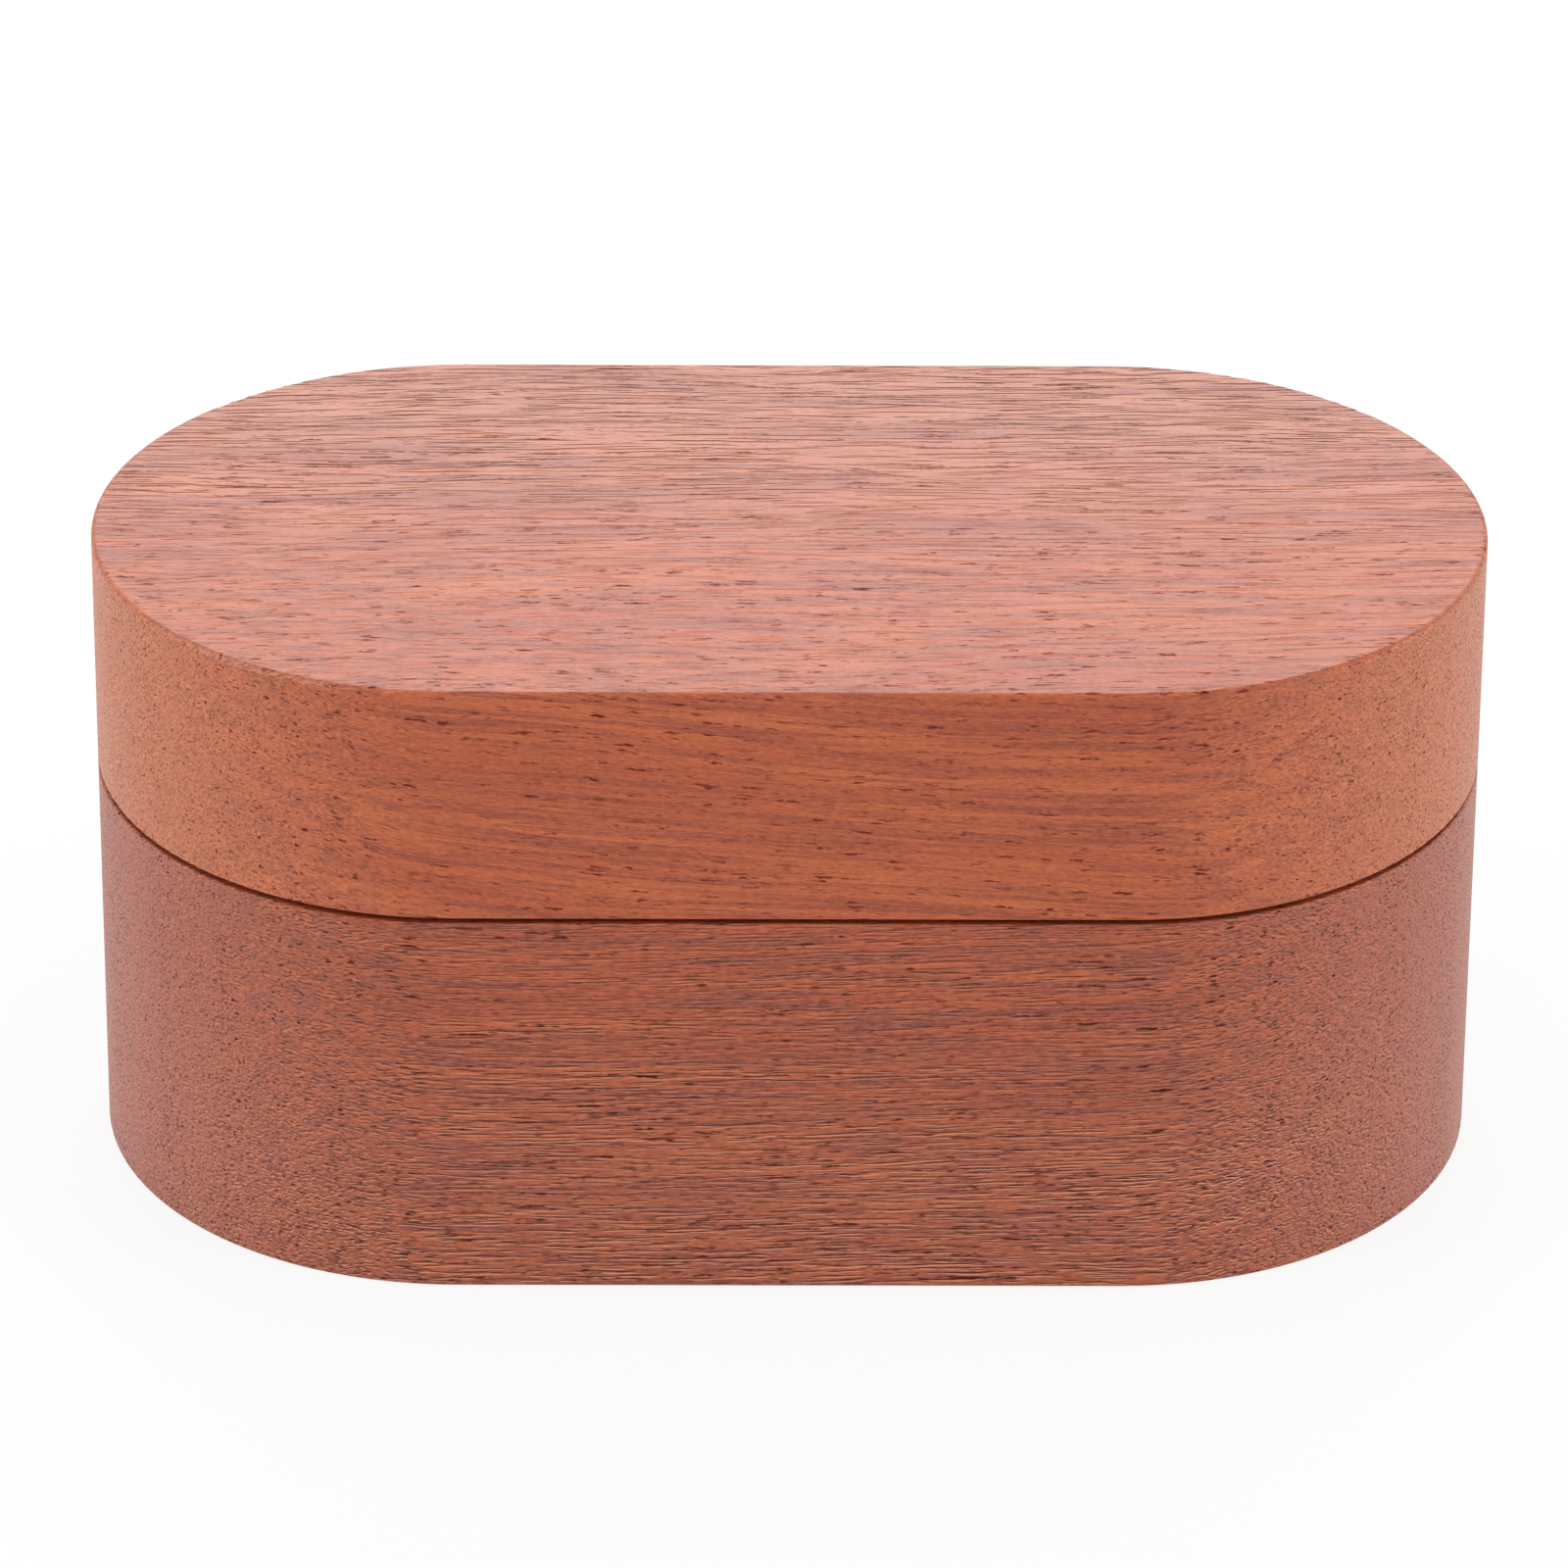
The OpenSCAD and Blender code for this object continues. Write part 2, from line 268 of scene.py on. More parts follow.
def furrows(tree, wood, place, normal):
    """Furrows between raised fibres, and their lips: 1 on the upper lip, -1 on the lower one, 0 elsewhere."""
    outward = add(tree, "VectorMath", {0: normal, 1: wood["lip_mm"]}, operation="DOT_PRODUCT").outputs["Value"]
    sunk = add(tree, "VectorMath", {0: normal, "Scale": outward}, operation="SCALE")
    uphill = add(tree, "VectorMath", {0: wood["lip_mm"], 1: sunk}, operation="SUBTRACT")
    depths = []
    for lift in ((0.0, 0.0, 0.0), uphill):
        spot = add(tree, "VectorMath", {0: place, 1: lift}, operation="ADD")
        fibres = streaks(tree, spot, wood["fibre_mm"], 1.5, 0.55)
        depths.append(add(tree, "MapRange", {"Value": fibres, "From Min": FURROW_STARTS, "From Max": FURROW_FULL}))
    return depths[0], add(tree, "Math", {0: depths[0], 1: depths[1]}, operation="SUBTRACT")


print("furrows in mm, long and wide: lid", LID_WOOD["fibre_mm"][:2], "base", BASE_WOOD["fibre_mm"][:2])

# %% [markdown]
# ## Sapele: open vessels
# The vessels that carried sap are tubes. Cut along they are dark dashes a few millimetres long, and cut across they
# are dots. They could be modelled as dents, but there are many thousands of them, so a pattern has to draw them.
# Each cell of a stretched Voronoi pattern holds one slim spindle, and a lot decides its width, its darkness, and
# whether it is there at all. Crumbs of wood tear its edge.
# There are two sets: dashes, which are short and wide, and lines, which are long and thin and crowd together.

# %% Open vessels
# Real vessels are 0.1 to 0.2 mm wide. The lid's dashes are drawn a little wider so that they show.
# A share and a darkness each have two values: in the open wood and in the crowded zone, and the faintest and darkest.
LID_WOOD.update(
    crumb_mm=(0.5, 0.11, 0.11),
    dashes={"cell_mm": (2.1, 0.31, 0.28), "width_mm": 0.25, "torn": 0.5,
            "share": (1.0, 0.15), "dark": (0.35, 1.0)},
    lines={"cell_mm": (4.5, 0.17, 0.20), "width_mm": 0.15, "torn": 0.35,
           "share": (0.0, 0.9), "dark": (0.7, 1.0)},
)
BASE_WOOD.update(
    crumb_mm=(0.6, 0.14, 0.14),
    dashes={"cell_mm": (1.6, 0.27, 0.27), "width_mm": 0.19, "torn": 0.5,
            "share": (0.6, 0.8), "dark": (0.3, 0.9)},
    lines={"cell_mm": (3.5, 0.22, 0.22), "width_mm": 0.20, "torn": 0.4,
           "share": (0.4, 1.0), "dark": (0.5, 1.0)},
)
# The slimmest vessel and the soft wall are shares of the full half width, and the power makes dark vessels rare.
SLIMMEST = 0.3
SOFT_WALL = 0.6
MOSTLY_FAINT = 1.5
FINE_CRUMBS, LARGE_CRUMBS = 0.35, 0.65


def open_vessels(tree, kind, place, crowd, crumbs):
    """Vessels that the surface cuts open, each with its own darkness, and 0 between them."""
    at = add(tree, "VectorMath", {0: place, 1: kind["cell_mm"]}, operation="DIVIDE")
    cell = add(tree, "TexVoronoi", {"Vector": at, "Scale": 1.0})
    lot = add(tree, "SeparateColor", {"Color": cell.outputs["Color"]})
    reach = kind["width_mm"] / 2 / kind["cell_mm"][1]
    rim = add(tree, "Math", {0: lot.outputs["Red"], 1: (1 - SLIMMEST) * reach, 2: SLIMMEST * reach},
              operation="MULTIPLY_ADD")
    torn = kind["torn"] * reach
    ragged = add(tree, "MapRange", {
        "Value": crumbs, "From Min": FINE_CRUMBS, "From Max": LARGE_CRUMBS, "To Min": -torn, "To Max": torn})
    edge = add(tree, "Math", {0: rim, 1: ragged}, operation="SUBTRACT")
    inside = add(tree, "Math", {0: edge, 1: cell.outputs["Distance"]}, operation="SUBTRACT")
    spindle = add(tree, "MapRange", {"Value": inside, "From Min": 0.0, "From Max": SOFT_WALL * reach},
                  interpolation_type="SMOOTHSTEP")
    few, many = kind["share"]
    left_out = add(tree, "MapRange", {"Value": crowd, "To Min": 1 - few, "To Max": 1 - many})
    kept = add(tree, "Math", {0: lot.outputs["Green"], 1: left_out}, operation="GREATER_THAN")
    shown = add(tree, "Math", {0: spindle, 1: kept}, operation="MULTIPLY")
    drawn = add(tree, "Math", {0: lot.outputs["Blue"], 1: MOSTLY_FAINT}, operation="POWER")
    faintest, darkest = kind["dark"]
    shade = add(tree, "MapRange", {"Value": drawn, "To Min": faintest, "To Max": darkest})
    return add(tree, "Math", {0: shown, 1: shade}, operation="MULTIPLY")


print("vessels in mm wide: lid", LID_WOOD["dashes"]["width_mm"], LID_WOOD["lines"]["width_mm"],
      "base", BASE_WOOD["dashes"]["width_mm"], BASE_WOOD["lines"]["width_mm"])

# %% [markdown]
# ## Sapele: the colour of the ground
# Between its vessels sapele is orange-brown in bands, paler where vessels crowd, with streaks of darker red or purple.
# On the lid that zone lies at the back of the top, where the paler colour is a painted sheen as well as the wood's
# own.
# One colour ramp could hold all that, but each cause has a size of its own, so each is laid over the last.
# Sandpaper leaves crumbs, a fine mottle that shows most on the ends, where fibres are cut across.
# The ends are also mixed towards a duller, paler colour: partly dusty, oil-soaked end grain, and partly a painted
# sheen of the bright room, which the ends reflect at a grazing angle.

# %% Ground colour
# Shares in pairs are for the open wood and the crowded zone, or for mottle along the fibres and across them.
# The lid's pale, mixed in towards the back of the top, is partly a painted sheen.
LID_WOOD.update(
    tones=("#A6441D", "#B55326", "#C1602E"), pale="#BE8670", pale_share=0.58,
    patch_mm=(22.0, 0.75, 0.48), streak=("#802C18", "#7A3636"), streak_share=(0.79, 0.6),
    mottle=("#6C2812", "#E68254"), mottle_share=(0.28, 1.0), dust="#AC7B5E", dust_share=0.3,
)
BASE_WOOD.update(
    tones=("#963618", "#AC4820", "#BC5A2A"), pale="#B86E4C", pale_share=0.45,
    patch_mm=(12.0, 0.6, 0.42), streak=("#6C2E2E", "#6C2E34"), streak_share=(0.95, 0.95),
    mottle=("#6A2612", "#CE7048"), mottle_share=(0.5, 1.0), dust="#885C58", dust_share=0.38,
)
DARK_BAND, MIDDLE_BAND, PALE_BAND = 0.30, 0.50, 0.72
STREAK_STARTS, STREAK_FULL = 0.45, 0.59
DULL_CRUMB, BRIGHT_CRUMB = 0.3, 0.7


def ground_colour(tree, wood, place, bands, zone, crumbs, end_grain):
    """The colour of sanded sapele between its furrows and vessels."""
    tone = add(tree, "ValToRGB", {"Fac": bands})
    stops = tone.color_ramp.elements
    dark, middle, pale = (linear(h) for h in wood["tones"])
    stops[0].position, stops[0].color = DARK_BAND, dark
    stops[1].position, stops[1].color = PALE_BAND, pale
    stops.new(MIDDLE_BAND).color = middle
    # Paler towards the crowded zone; on the lid's top this paler back is partly a painted sheen.
    pale_share = add(tree, "Math", {0: zone, 1: wood["pale_share"]}, operation="MULTIPLY")
    paled = add(tree, "Mix", {"Factor": pale_share, "A": tone, "B": linear(wood["pale"])}, data_type="RGBA")

    patches = streaks(tree, place, wood["patch_mm"], 3.0, 0.62)
    in_open, in_crowd = wood["streak_share"]
    strongest = add(tree, "MapRange", {"Value": zone, "To Min": in_open, "To Max": in_crowd})
    streak_share = add(tree, "MapRange", {
        "Value": patches, "From Min": STREAK_STARTS, "From Max": STREAK_FULL, "To Max": strongest})
    red, purple = (linear(h) for h in wood["streak"])
    streak = add(tree, "Mix", {"Factor": zone, "A": red, "B": purple}, data_type="RGBA")
    streaked = add(tree, "Mix", {"Factor": streak_share, "A": paled, "B": streak}, data_type="RGBA")

    dull, bright = (linear(h) for h in wood["mottle"])
    speckle = add(tree, "MapRange", {"Value": crumbs, "From Min": DULL_CRUMB, "From Max": BRIGHT_CRUMB})
    mottle = add(tree, "Mix", {"Factor": speckle, "A": dull, "B": bright}, data_type="RGBA")
    along, across = wood["mottle_share"]
    mottle_share = add(tree, "MapRange", {"Value": end_grain, "To Min": along, "To Max": across})
    mottled = add(tree, "Mix", {"Factor": mottle_share, "A": streaked, "B": mottle}, data_type="RGBA")
    # Towards the ends the colour turns duller and paler: dusty, oil-soaked end grain, and a painted sheen as well.
    dust_share = add(tree, "Math", {0: end_grain, 1: wood["dust_share"]}, operation="MULTIPLY")
    return add(tree, "Mix", {"Factor": dust_share, "A": mottled, "B": linear(wood["dust"])}, data_type="RGBA")


print("middle tones: lid", LID_WOOD["tones"][1], "base", BASE_WOOD["tones"][1])

# %% [markdown]
# ## Sapele: painted shade and highlight on the furrow lips
# The upper lips get painted shade and the lower lips a painted highlight, standing in for light from above and behind.
# Both are clearest in the pale bands and in the crowded zone, where the wood is coarse.
# Where the saw cut square across the fibres there are no furrows, only pores, so the lips fade round the ends.
# A mask could be painted for that, but the surface's own direction already tells how square the cut is.

# %% Furrow lips
# The lip colours are painted shade for the upper lips and a painted highlight for the lower ones.
LID_WOOD.update(lips=("#3C110B", "#D29876"), shade_share=(0.12, 1.0), glint_share=(0.1, 0.45))
BASE_WOOD.update(lips=("#340B08", "#EEAA8A"), shade_share=(0.75, 1.0), glint_share=(0.25, 0.74))
DULL_BAND, CLEAR_BAND, CLEAR_IN_DULL_BAND = 0.3, 0.7, 0.5


def furrow_lips(tree, wood, lip, bands, slanted, zone, coarse):
    """How much painted shade the upper lips get, and how much painted highlight the lower ones, each from 0 to 1."""
    clear = add(tree, "MapRange", {
        "Value": bands, "From Min": DULL_BAND, "From Max": CLEAR_BAND, "To Min": CLEAR_IN_DULL_BAND})
    clear_lip = add(tree, "Math", {0: lip, 1: clear}, operation="MULTIPLY")
    lips = add(tree, "Math", {0: clear_lip, 1: slanted}, operation="MULTIPLY")
    sides = []
    for sign, key, driver in ((1.0, "shade_share", coarse), (-1.0, "glint_share", zone)):
        faint, strong = wood[key]
        most = add(tree, "MapRange", {"Value": driver, "To Min": sign * faint, "To Max": sign * strong})
        sides.append(add(tree, "Math", {0: lips, 1: most}, operation="MULTIPLY", use_clamp=True))
    return sides


print("lip colours: lid", LID_WOOD["lips"], "base", BASE_WOOD["lips"])

# %% [markdown]
# ## Sapele: oil on the outside
# The outside of the case was wiped with thin oil, while the rims and the hollows stayed bare and matt.
# Two materials could do that, but each block is one solid, so the place of a point decides.
# The outside is a stadium: a point's distance from the middle line, or from the centre of a round end, tells whether
# it lies on the outside.

# %% Oiled outside
OIL_DEPTH = 0.2 * MM
case_length, case_width = (cad_high - cad_low).xy


def oiled_outside(tree):
    """1 on the outside of the case, which was oiled, and 0 on rims and hollows, which were left bare."""
    place = add(tree, "SeparateXYZ", {"Vector": add(tree, "TexCoord").outputs["Object"]})
    from_middle = add(tree, "Math", {0: place.outputs["X"]}, operation="ABSOLUTE")
    past_straight = add(tree, "Math", {0: from_middle, 1: (case_length - case_width) / 2}, operation="SUBTRACT")
    round_end = add(tree, "Math", {0: past_straight, 1: 0.0}, operation="MAXIMUM")
    across = add(tree, "CombineXYZ", {"X": round_end, "Y": place.outputs["Y"]})
    from_axis = add(tree, "VectorMath", {0: across}, operation="LENGTH").outputs["Value"]
    side = add(tree, "Math", {0: from_axis, 1: case_width / 2 - OIL_DEPTH}, operation="GREATER_THAN")
    top = add(tree, "Math", {0: place.outputs["Z"], 1: cad_high.z - OIL_DEPTH}, operation="GREATER_THAN")
    return add(tree, "Math", {0: side, 1: top}, operation="MAXIMUM")


print("oil reaches in by mm:", round(OIL_DEPTH / MM, 2))

# %% [markdown]
# ## Sapele: sanded and oiled
# Sanded sapele under thin oil is satin: it has no film of gloss, only a soft sheen.
# The recipe takes the ground colour, paints shade and highlight onto the lips of the furrows, and sinks the vessels.
# The same furrows and vessels drive roughness, shine and a fine bump, so light breaks along the grain as colour does.
# Shine varies over the surface because open pores and bare rims drink the oil and stay dull, and it is lowered on the
# upper lips with their painted shade as well.

# %% Sapele
LID_WOOD.update(vessel="#5C1A10", relief=(0.25, 0.7))
BASE_WOOD.update(vessel="#40120C", relief=(0.5, 0.7))
WOOD_IOR = 1.5
ENDS_SET_IN = 1.4
LIPS_FADE_FROM, LIPS_FADE_TO, LIPS_LEFT_ON_ENDS = 0.3, 0.9, 0.3
RIDGE_ROUGHNESS, FURROW_ROUGHNESS, OPEN_GRAIN_ROUGHER = 0.42, 0.52, 0.25
BARE_SHINE, OILED_SHINE = 0.08, 0.5
VESSEL_DEPTH = 0.08 * MM
FURROW_DEPTH_SHARE = 0.3


def sanded_sapele(name, wood):
    """Sanded and oiled sapele for one block of the case."""
    material, tree = new_material(name)
    place = grain_position(tree, wood)
    bands = growth_bands(tree, wood, place)
    zone = crowded_zone(tree, wood, place)
    normal = add(tree, "TexCoord").outputs["Normal"]
    facing = add(tree, "SeparateXYZ", {"Vector": normal}).outputs["X"]
    sideways = add(tree, "Math", {0: facing}, operation="ABSOLUTE")
    end_grain = add(tree, "Math", {0: sideways, 1: ENDS_SET_IN}, operation="POWER")
    slanted = add(tree, "MapRange", {
        "Value": sideways, "From Min": LIPS_FADE_FROM, "From Max": LIPS_FADE_TO,
        "To Min": 1.0, "To Max": LIPS_LEFT_ON_ENDS})
    coarse = add(tree, "Math", {0: zone, 1: end_grain}, operation="MAXIMUM")
    crumbs = streaks(tree, place, wood["crumb_mm"], 2.0, 0.6)
    depth, lip = furrows(tree, wood, place, normal)
    shade, glint = furrow_lips(tree, wood, lip, bands, slanted, zone, coarse)
    dashes = open_vessels(tree, wood["dashes"], place, zone, crumbs)
    lines = open_vessels(tree, wood["lines"], place, coarse, crumbs)
    vessels = add(tree, "Math", {0: dashes, 1: lines}, operation="MAXIMUM")

    ground = ground_colour(tree, wood, place, bands, zone, crumbs, end_grain)
    # Painted shade on the upper lips and a painted highlight on the lower ones stand in for light from above.
    upper, lower = (linear(h) for h in wood["lips"])
    with_painted_lip_shade = add(tree, "Mix", {"Factor": shade, "A": ground, "B": upper}, data_type="RGBA")
    with_painted_lip_highlight = add(tree, "Mix", {"Factor": glint, "A": with_painted_lip_shade, "B": lower}, data_type="RGBA")
    colour = add(tree, "Mix", {"Factor": vessels, "A": with_painted_lip_highlight, "B": linear(wood["vessel"])}, data_type="RGBA")

    # Open pores and the upper lips with painted shade are rougher and shine less.
    open_grain_and_shaded_lips = add(tree, "Math", {0: vessels, 1: shade}, operation="MAXIMUM")
    satin = add(tree, "MapRange", {"Value": depth, "To Min": RIDGE_ROUGHNESS, "To Max": FURROW_ROUGHNESS})
    rough = add(tree, "Math", {0: open_grain_and_shaded_lips, 1: OPEN_GRAIN_ROUGHER, 2: satin}, operation="MULTIPLY_ADD")
    sheen = add(tree, "MapRange", {"Value": oiled_outside(tree), "To Min": BARE_SHINE, "To Max": OILED_SHINE})
    shine = add(tree, "MapRange", {"Value": open_grain_and_shaded_lips, "To Min": sheen, "To Max": BARE_SHINE})
    low, high = wood["relief"]
    relief = add(tree, "MapRange", {"Value": zone, "To Min": low, "To Max": high})
    furrow = add(tree, "Math", {0: depth, 1: slanted}, operation="MULTIPLY")
    hollow = add(tree, "Math", {0: furrow, 1: FURROW_DEPTH_SHARE, 2: vessels}, operation="MULTIPLY_ADD")
    bump = add(tree, "Bump", {"Strength": relief, "Distance": VESSEL_DEPTH, "Height": hollow}, invert=True)
    shader = add(tree, "BsdfPrincipled", {
        "Base Color": colour, "Roughness": rough, "IOR": WOOD_IOR, "Specular IOR Level": shine, "Normal": bump})
    add(tree, "OutputMaterial", {"Surface": shader})
    return material


def dress(names, material):
    """Gives CAD nodes one material."""
    for name in names:
        nodes[name].data.materials.clear()
        nodes[name].data.materials.append(material)


# The eye sees a warm red-brown with dark dashes, and a soft sheen that the pores break up.
dress(["lid"], sanded_sapele("sapele_sanded_oiled_lid", LID_WOOD))
dress(["base"], sanded_sapele("sapele_sanded_oiled_base", BASE_WOOD))
print("wood nodes:", len(bpy.data.materials["sapele_sanded_oiled_lid"].node_tree.nodes))

# %% [markdown]
# ## Small metal parts
# The hinge leaves and screws are brass, stamped or turned and then tumbled in a drum, which takes off the burrs.
# The pins are drawn steel wire, and the magnets are discs plated with nickel.
# Three recipes could be written, but all three are a metal with a colour, a range of roughness, and a grain of its own
# size, so one recipe takes these as values.

# %% Metal finishes
FINE_GRAIN, STRONG_GRAIN = 0.3, 0.7
DENT_DEPTH = 0.01 * MM


def worked_metal(name, bright, dull, roughness, grain_mm, relief):
    """A metal whose colour, roughness and bump follow one grain of the given size in millimetres."""
    material, tree = new_material(name)
    place = add(tree, "TexCoord").outputs["Object"]
    at = add(tree, "VectorMath", {0: place, 1: [MM * side for side in grain_mm]}, operation="DIVIDE")
    grain = add(tree, "TexNoise", {"Vector": at, "Scale": 1.0, "Detail": 3.0, "Roughness": 0.6})
    colour = add(tree, "Mix", {"Factor": grain, "A": linear(dull), "B": linear(bright)}, data_type="RGBA")
    smoothest, roughest = roughness
    rough = add(tree, "MapRange", {
        "Value": grain, "From Min": FINE_GRAIN, "From Max": STRONG_GRAIN, "To Min": roughest, "To Max": smoothest})
    bump = add(tree, "Bump", {"Strength": relief, "Distance": DENT_DEPTH, "Height": grain})
    shader = add(tree, "BsdfPrincipled", {
        "Base Color": colour, "Metallic": 1.0, "Roughness": rough, "Normal": bump})
    add(tree, "OutputMaterial", {"Surface": shader})
    return material


# Tumbling leaves brass a warm yellow with a soft shine and dents of half a millimetre.
dress([name for name in nodes if "leaf" in name or "screws" in name],
      worked_metal("brass_stamped_tumbled", "#E3C27A", "#B98F45", (0.25, 0.42), (0.5, 0.5, 0.5), 0.6))
# The drawing die leaves steel wire with fine bright lines along its length, drawn coarser here so that they show.
dress([name for name in nodes if "pin" in name],
      worked_metal("steel_wire_drawn", "#C6C8CA", "#8F9296", (0.22, 0.40), (3.0, 0.08, 0.08), 0.5))
# Nickel plate over a pressed disc is a warm near-mirror with a faint cloudiness.
dress([name for name in nodes if "magnet" in name],
      worked_metal("nickel_plated_polished", "#DAD7D0", "#BDB9B2", (0.14, 0.28), (0.9, 0.9, 0.9), 0.3))
print("metal parts:", sum(any(word in name for word in ("leaf", "screws", "pin", "magnet")) for name in nodes))

# %% [markdown]
# ## Felt pads
# A pad of pressed wool felt lies in the bottom of each hollow, so that the picks don't rattle.
# A die cuts it from a sheet, which leaves a soft edge and a face that is never quite flat.
# A rounded block would do from afar, but rings of points from the rim inwards follow the stadium outline exactly
# and give the face enough points to swell a little.

# %% Felt shape
# The edge's profile, each point as inset from the rim and height over the back of the pad.
PAD_EDGE_MM = ((0.25, 0.0), (0.05, 0.12), (0.0, 0.3), (0.0, 0.75), (0.06, 0.98), (0.2, 1.12), (0.45, 1.2))
RING_STEP_MM = 0.9
UNEVEN_MM = 0.07
SWELL_WIDTH_MM = 4
DIMPLE_SHARE = 0.4
STRAIGHT_STEPS = 60
ROUND_STEPS = 48


def stadium_points(straight, radius):
    """Points round a stadium, from the left end of its front."""
    points = []
    for side in (1, -1):
        for step in range(STRAIGHT_STEPS):
            points.append((side * straight * (step / STRAIGHT_STEPS - 0.5), -side * radius))
        for step in range(ROUND_STEPS):
            turn = math.pi * (step / ROUND_STEPS - 0.5)
            points.append((side * (straight / 2 + radius * math.cos(turn)), side * radius * math.sin(turn)))
    return points


def felt_pad(name, node, facing):
    """A felt pad in the place of a CAD node, facing up (1) or down (-1)."""
    low, high = (Vector(corner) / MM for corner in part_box(node))
    length, width, thickness = high - low
    back_z = low.z if facing > 0 else high.z
    mesh = bmesh.new()
    insets = [RING_STEP_MM * step + PAD_EDGE_MM[-1][0] for step in range(1, int(width / 2 / RING_STEP_MM))]
    profile = [*PAD_EDGE_MM, *((inset, thickness) for inset in insets)]
    rings = []
    for inset, height in profile:
        ring = []
        for x, y in stadium_points(length - width, width / 2 - inset):
            broad = noise.noise((x / SWELL_WIDTH_MM, y / SWELL_WIDTH_MM, facing))
            swell = broad + DIMPLE_SHARE * noise.noise((x, y, 5 * facing))
            lift = height + UNEVEN_MM * swell * height / thickness
            ring.append(mesh.verts.new(Vector((x, y, back_z + facing * lift)) * MM))
        rings.append(ring)
    for outer, inner in zip(rings, rings[1:]):
        for i in range(len(outer)):
            j = (i + 1) % len(outer)
            mesh.faces.new((outer[i], outer[j], inner[j], inner[i]))
    mesh.faces.new(rings[0])
    mesh.faces.new(rings[-1])
    bmesh.ops.recalc_face_normals(mesh, faces=mesh.faces)
    for face in mesh.faces:
        face.smooth = True
    data = bpy.data.meshes.new(name)
    mesh.to_mesh(data)
    mesh.free()
    pad = bpy.data.objects.new(name, data)
    scene.collection.objects.link(pad)
    return pad, length * MM, width * MM


print("points in each ring of a pad:", 2 * (STRAIGHT_STEPS + ROUND_STEPS))

# %% [markdown]
# ## Felt finish
# Felt has no weave: its fibres lie in every direction and stand up a little, so it looks soft and never shines.
# Hair could be grown on the pads, but it would double the model for a surface that is mostly in shade.
# Twisted noise gives the tangle instead, thin curls of paler noise give single fibres that lie on top, and sheen gives
# the pale bloom of fibre ends along the edges.

# %% Felt finish
# Wool fibres are 0.02 to 0.03 mm thick, so the tangle and the curls are drawn about ten times coarser to show.
TANGLES_PER_MM = 3.0
CLOUDS_PER_MM = 0.25
CURLS_PER_MM = 1.1
THIN_FELT, THICK_FELT = 0.35, 0.65
TANGLE_SHARE, CLOUD_SHARE = 0.7, 0.3
CURL_LINE, CURL_WIDTH, CURL_SHARE = 0.5, 0.02, 0.6
NAP_HEIGHT = 0.25 * MM

felt, tree = new_material("wool_felt_pressed")
place = add(tree, "TexCoord").outputs["Object"]
mm = add(tree, "VectorMath", {0: place, "Scale": 1 / MM}, operation="SCALE")
tangle = add(tree, "TexNoise", {
    "Vector": mm, "Scale": TANGLES_PER_MM, "Detail": 4.0, "Roughness": 0.7, "Distortion": 1.5})
cloud = add(tree, "TexNoise", {"Vector": mm, "Scale": CLOUDS_PER_MM, "Detail": 2.0})
fleck = add(tree, "MapRange", {
    "Value": tangle, "From Min": THIN_FELT, "From Max": THICK_FELT, "To Max": TANGLE_SHARE})
shade = add(tree, "Math", {0: cloud, 1: CLOUD_SHARE, 2: fleck}, operation="MULTIPLY_ADD")
clumps = add(tree, "Mix", {"Factor": shade, "A": linear("#111012"), "B": linear("#454246")}, data_type="RGBA")
curl = add(tree, "TexNoise", {"Vector": mm, "Scale": CURLS_PER_MM, "Detail": 1.0, "Distortion": 2.5})
off_line = add(tree, "Math", {0: curl, 1: CURL_LINE}, operation="SUBTRACT")
gap = add(tree, "Math", {0: off_line}, operation="ABSOLUTE")
fibre = add(tree, "MapRange", {"Value": gap, "From Max": CURL_WIDTH, "To Min": CURL_SHARE, "To Max": 0.0})
colour = add(tree, "Mix", {"Factor": fibre, "A": clumps, "B": linear("#6E6A6E")}, data_type="RGBA")
bump = add(tree, "Bump", {"Strength": 1.0, "Distance": NAP_HEIGHT, "Height": tangle})
# Dyed wool gives the eye a deep, soft grey-black that turns paler where it is seen along the surface.
shader = add(tree, "BsdfPrincipled", {
    "Base Color": colour, "Roughness": 0.95, "Specular IOR Level": 0.2, "Sheen Weight": 0.4,
    "Sheen Roughness": 0.5, "Normal": bump})
add(tree, "OutputMaterial", {"Surface": shader})
print("felt nodes:", len(tree.nodes))

# %% [markdown]
# ## Laying the pads
# The pads are glued into the hollows. The plain CAD sheets could stay there, but their edges would look sawn.
# So each shaped pad takes the place of its sheet and rides on the block that it is glued into.
# Its flat size, as the die cut it, is printed.

# %% Lay the pads
for name, node, body, facing in (("base_felt_pad", "base_felt", "base", 1), ("lid_felt_pad", "lid_felt", "lid", -1)):
    pad, length, width = felt_pad(name, node, facing)
    pad.data.materials.append(felt)
    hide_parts(node)
    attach(pad, body)
    print(name, "flat size in mm:", round(width / MM, 1), "by", round(length / MM, 1))

# %% [markdown]
# ## Floor
# The case stands on a plain white sweep of paper.
# The floor could simply be bright, but then it would also flood the wood with light.
# Light Path tells what kind of ray asks: the eye and mirror-like reflections see white, and the rest see lit paper.
# A small share of lit paper stays in what the eye sees, because it holds the shadow of the case.

# %% Floor
FLOOR_SIDE = 6.0
FLOOR_GAP = 0.02 * MM
FLOOR_SHADOW_SHARE = 0.15


def seen_directly(tree):
    """1 for rays from the eye, from mirror-like reflections and through glass, and 0 for all others."""
    rays = add(tree, "LightPath")
    seen = add(tree, "Math", {0: rays.outputs["Is Camera Ray"], 1: rays.outputs["Is Glossy Ray"]}, operation="MAXIMUM")
    return add(tree, "Math", {0: seen, 1: rays.outputs["Is Transmission Ray"]}, operation="MAXIMUM")


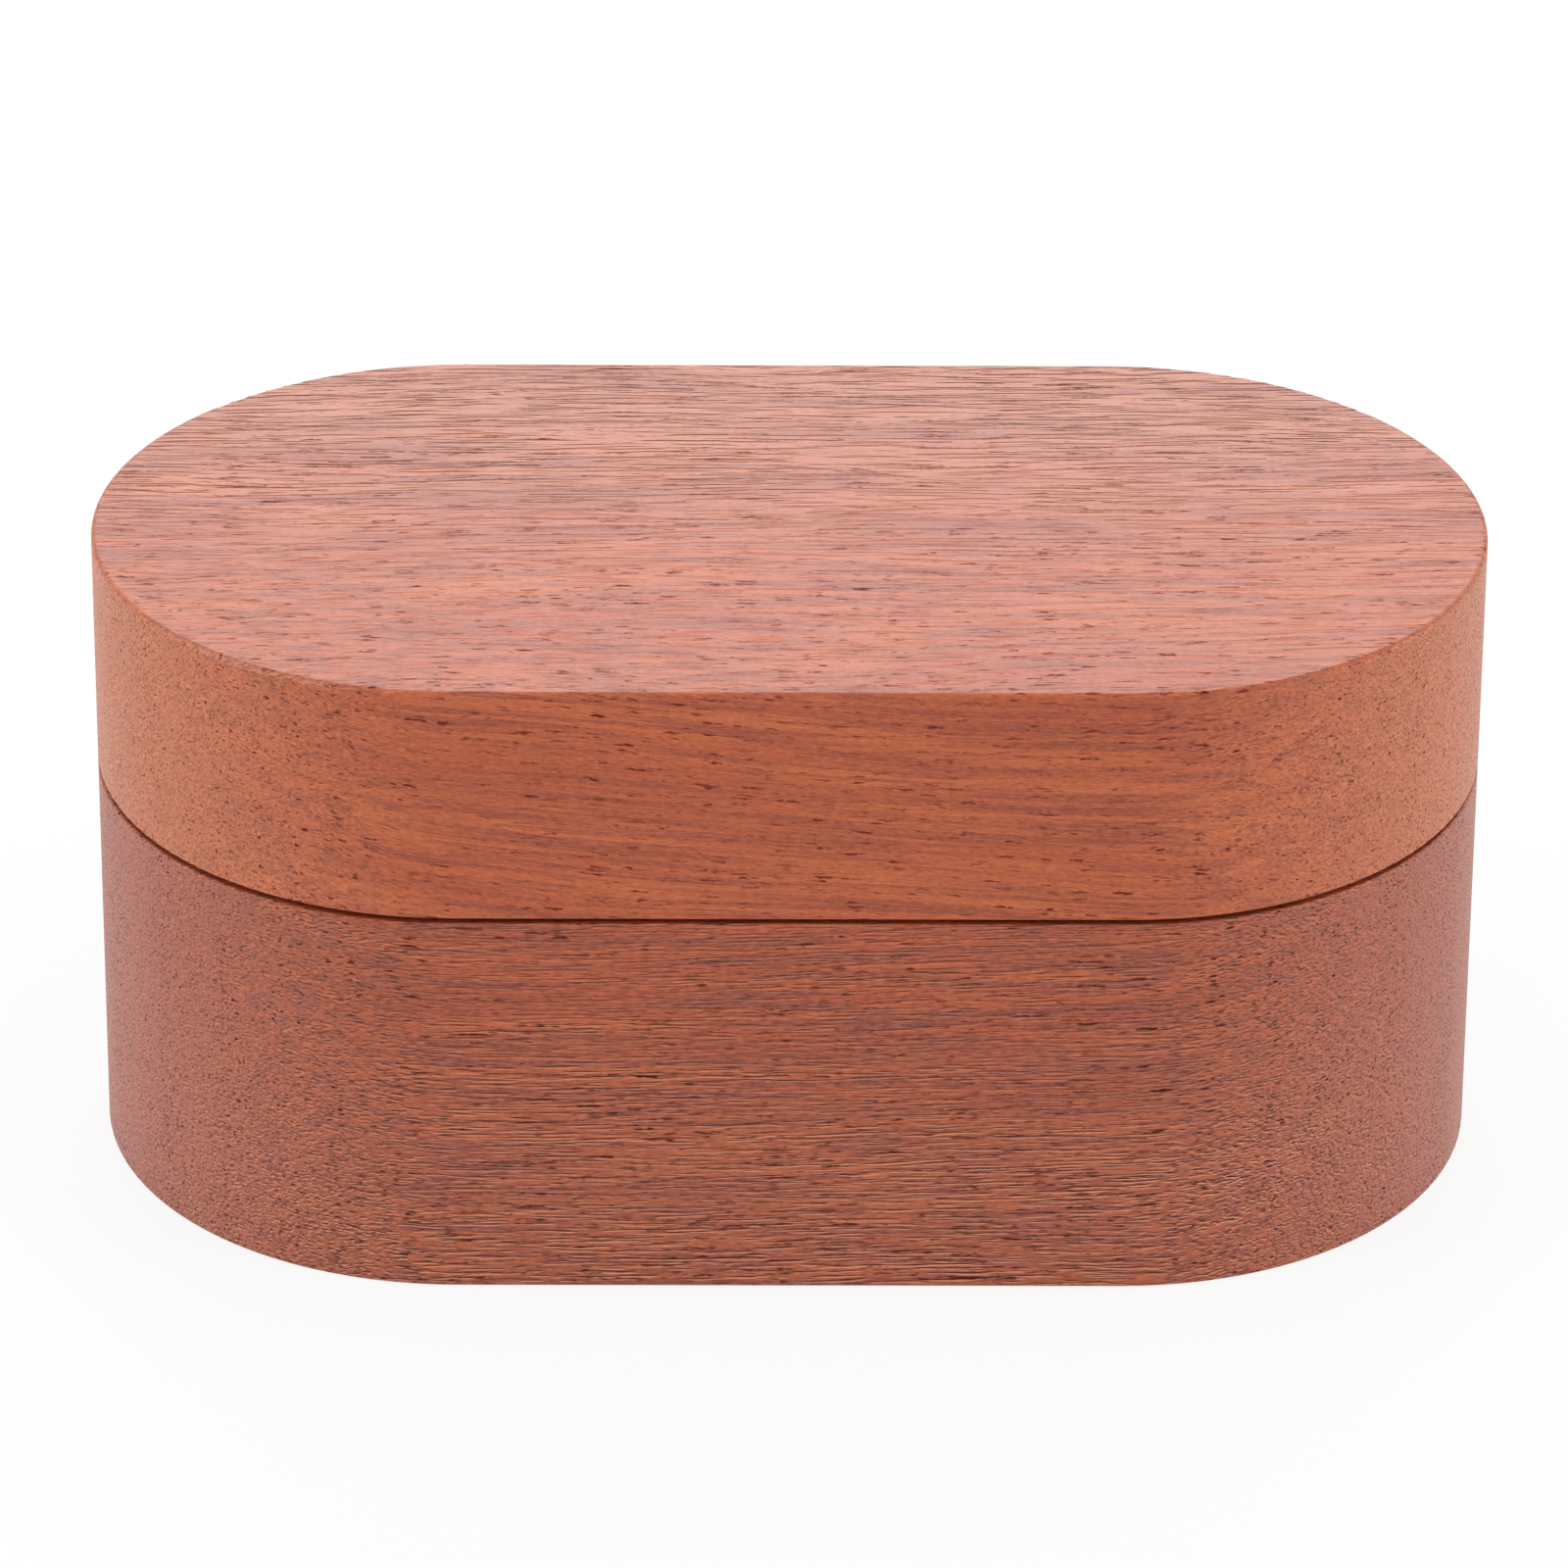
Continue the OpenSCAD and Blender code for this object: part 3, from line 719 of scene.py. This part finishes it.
half = FLOOR_SIDE / 2
floor_mesh = bpy.data.meshes.new("floor")
floor_mesh.from_pydata([(-half, -half, 0), (half, -half, 0), (half, half, 0), (-half, half, 0)], [], [(0, 1, 2, 3)])
floor = bpy.data.objects.new("floor", floor_mesh)
floor.location.z = cad_low.z - FLOOR_GAP
scene.collection.objects.link(floor)

# Matt paper gives the eye an even white with a soft shadow and no shine.
paper, tree = new_material("matt_white_paper")
white_share = add(tree, "Math", {0: seen_directly(tree), 1: 1 - FLOOR_SHADOW_SHARE}, operation="MULTIPLY")
lit = add(tree, "BsdfDiffuse", {"Color": linear("#F4F4F4")})
white = add(tree, "Emission", {"Color": linear("#FFFFFF"), "Strength": 1.0})
add(tree, "OutputMaterial", {"Surface": add(tree, "MixShader", {0: white_share, 1: lit, 2: white})})
floor_mesh.materials.append(paper)
print("floor in m:", FLOOR_SIDE, "by", FLOOR_SIDE)

# %% [markdown]
# ## Light
# Small products are lit by big soft lamps in a white room, so that no shadow has a hard edge.
# One bright room could light the case alone, but it would look flat: the lamp behind gives the top its pale sheen, and
# the lamps at the sides brighten the round ends.

# %% Room and lamps
ROOM_LIGHT = 0.60

world = bpy.data.worlds.new("white_room")
scene.world = world
world.use_nodes = True
tree = world.node_tree
tree.nodes.clear()
strength = add(tree, "MapRange", {"Value": seen_directly(tree), "To Min": ROOM_LIGHT, "To Max": 1.0})
room = add(tree, "Background", {"Color": linear("#FFFFFF"), "Strength": strength})
add(tree, "OutputWorld", {"Surface": room})

# Places and sizes in metres, power in watts.
LAMPS = {
    "softbox_above": {"at": (0.0, -0.05, 0.75), "size": 0.7, "power": 0.88},
    "softbox_behind": {"at": (0.0, 0.70, 0.46), "size": 0.6, "power": 2.75},
    "softbox_left": {"at": (-0.80, -0.15, 0.30), "size": 0.6, "power": 3.6},
    "softbox_right": {"at": (0.80, -0.15, 0.30), "size": 0.6, "power": 3.6},
}
for name, lamp in LAMPS.items():
    light = bpy.data.lights.new(name, "AREA")
    light.size = lamp["size"]
    light.energy = lamp["power"]
    softbox = bpy.data.objects.new(name, light)
    scene.collection.objects.link(softbox)
    softbox.location = lamp["at"]
    aim = Vector((0, 0, cad_high.z / 2)) - softbox.location
    softbox.rotation_euler = aim.to_track_quat("-Z", "Y").to_euler()
scene.view_settings.view_transform = "Standard"
print("lamps:", list(LAMPS))
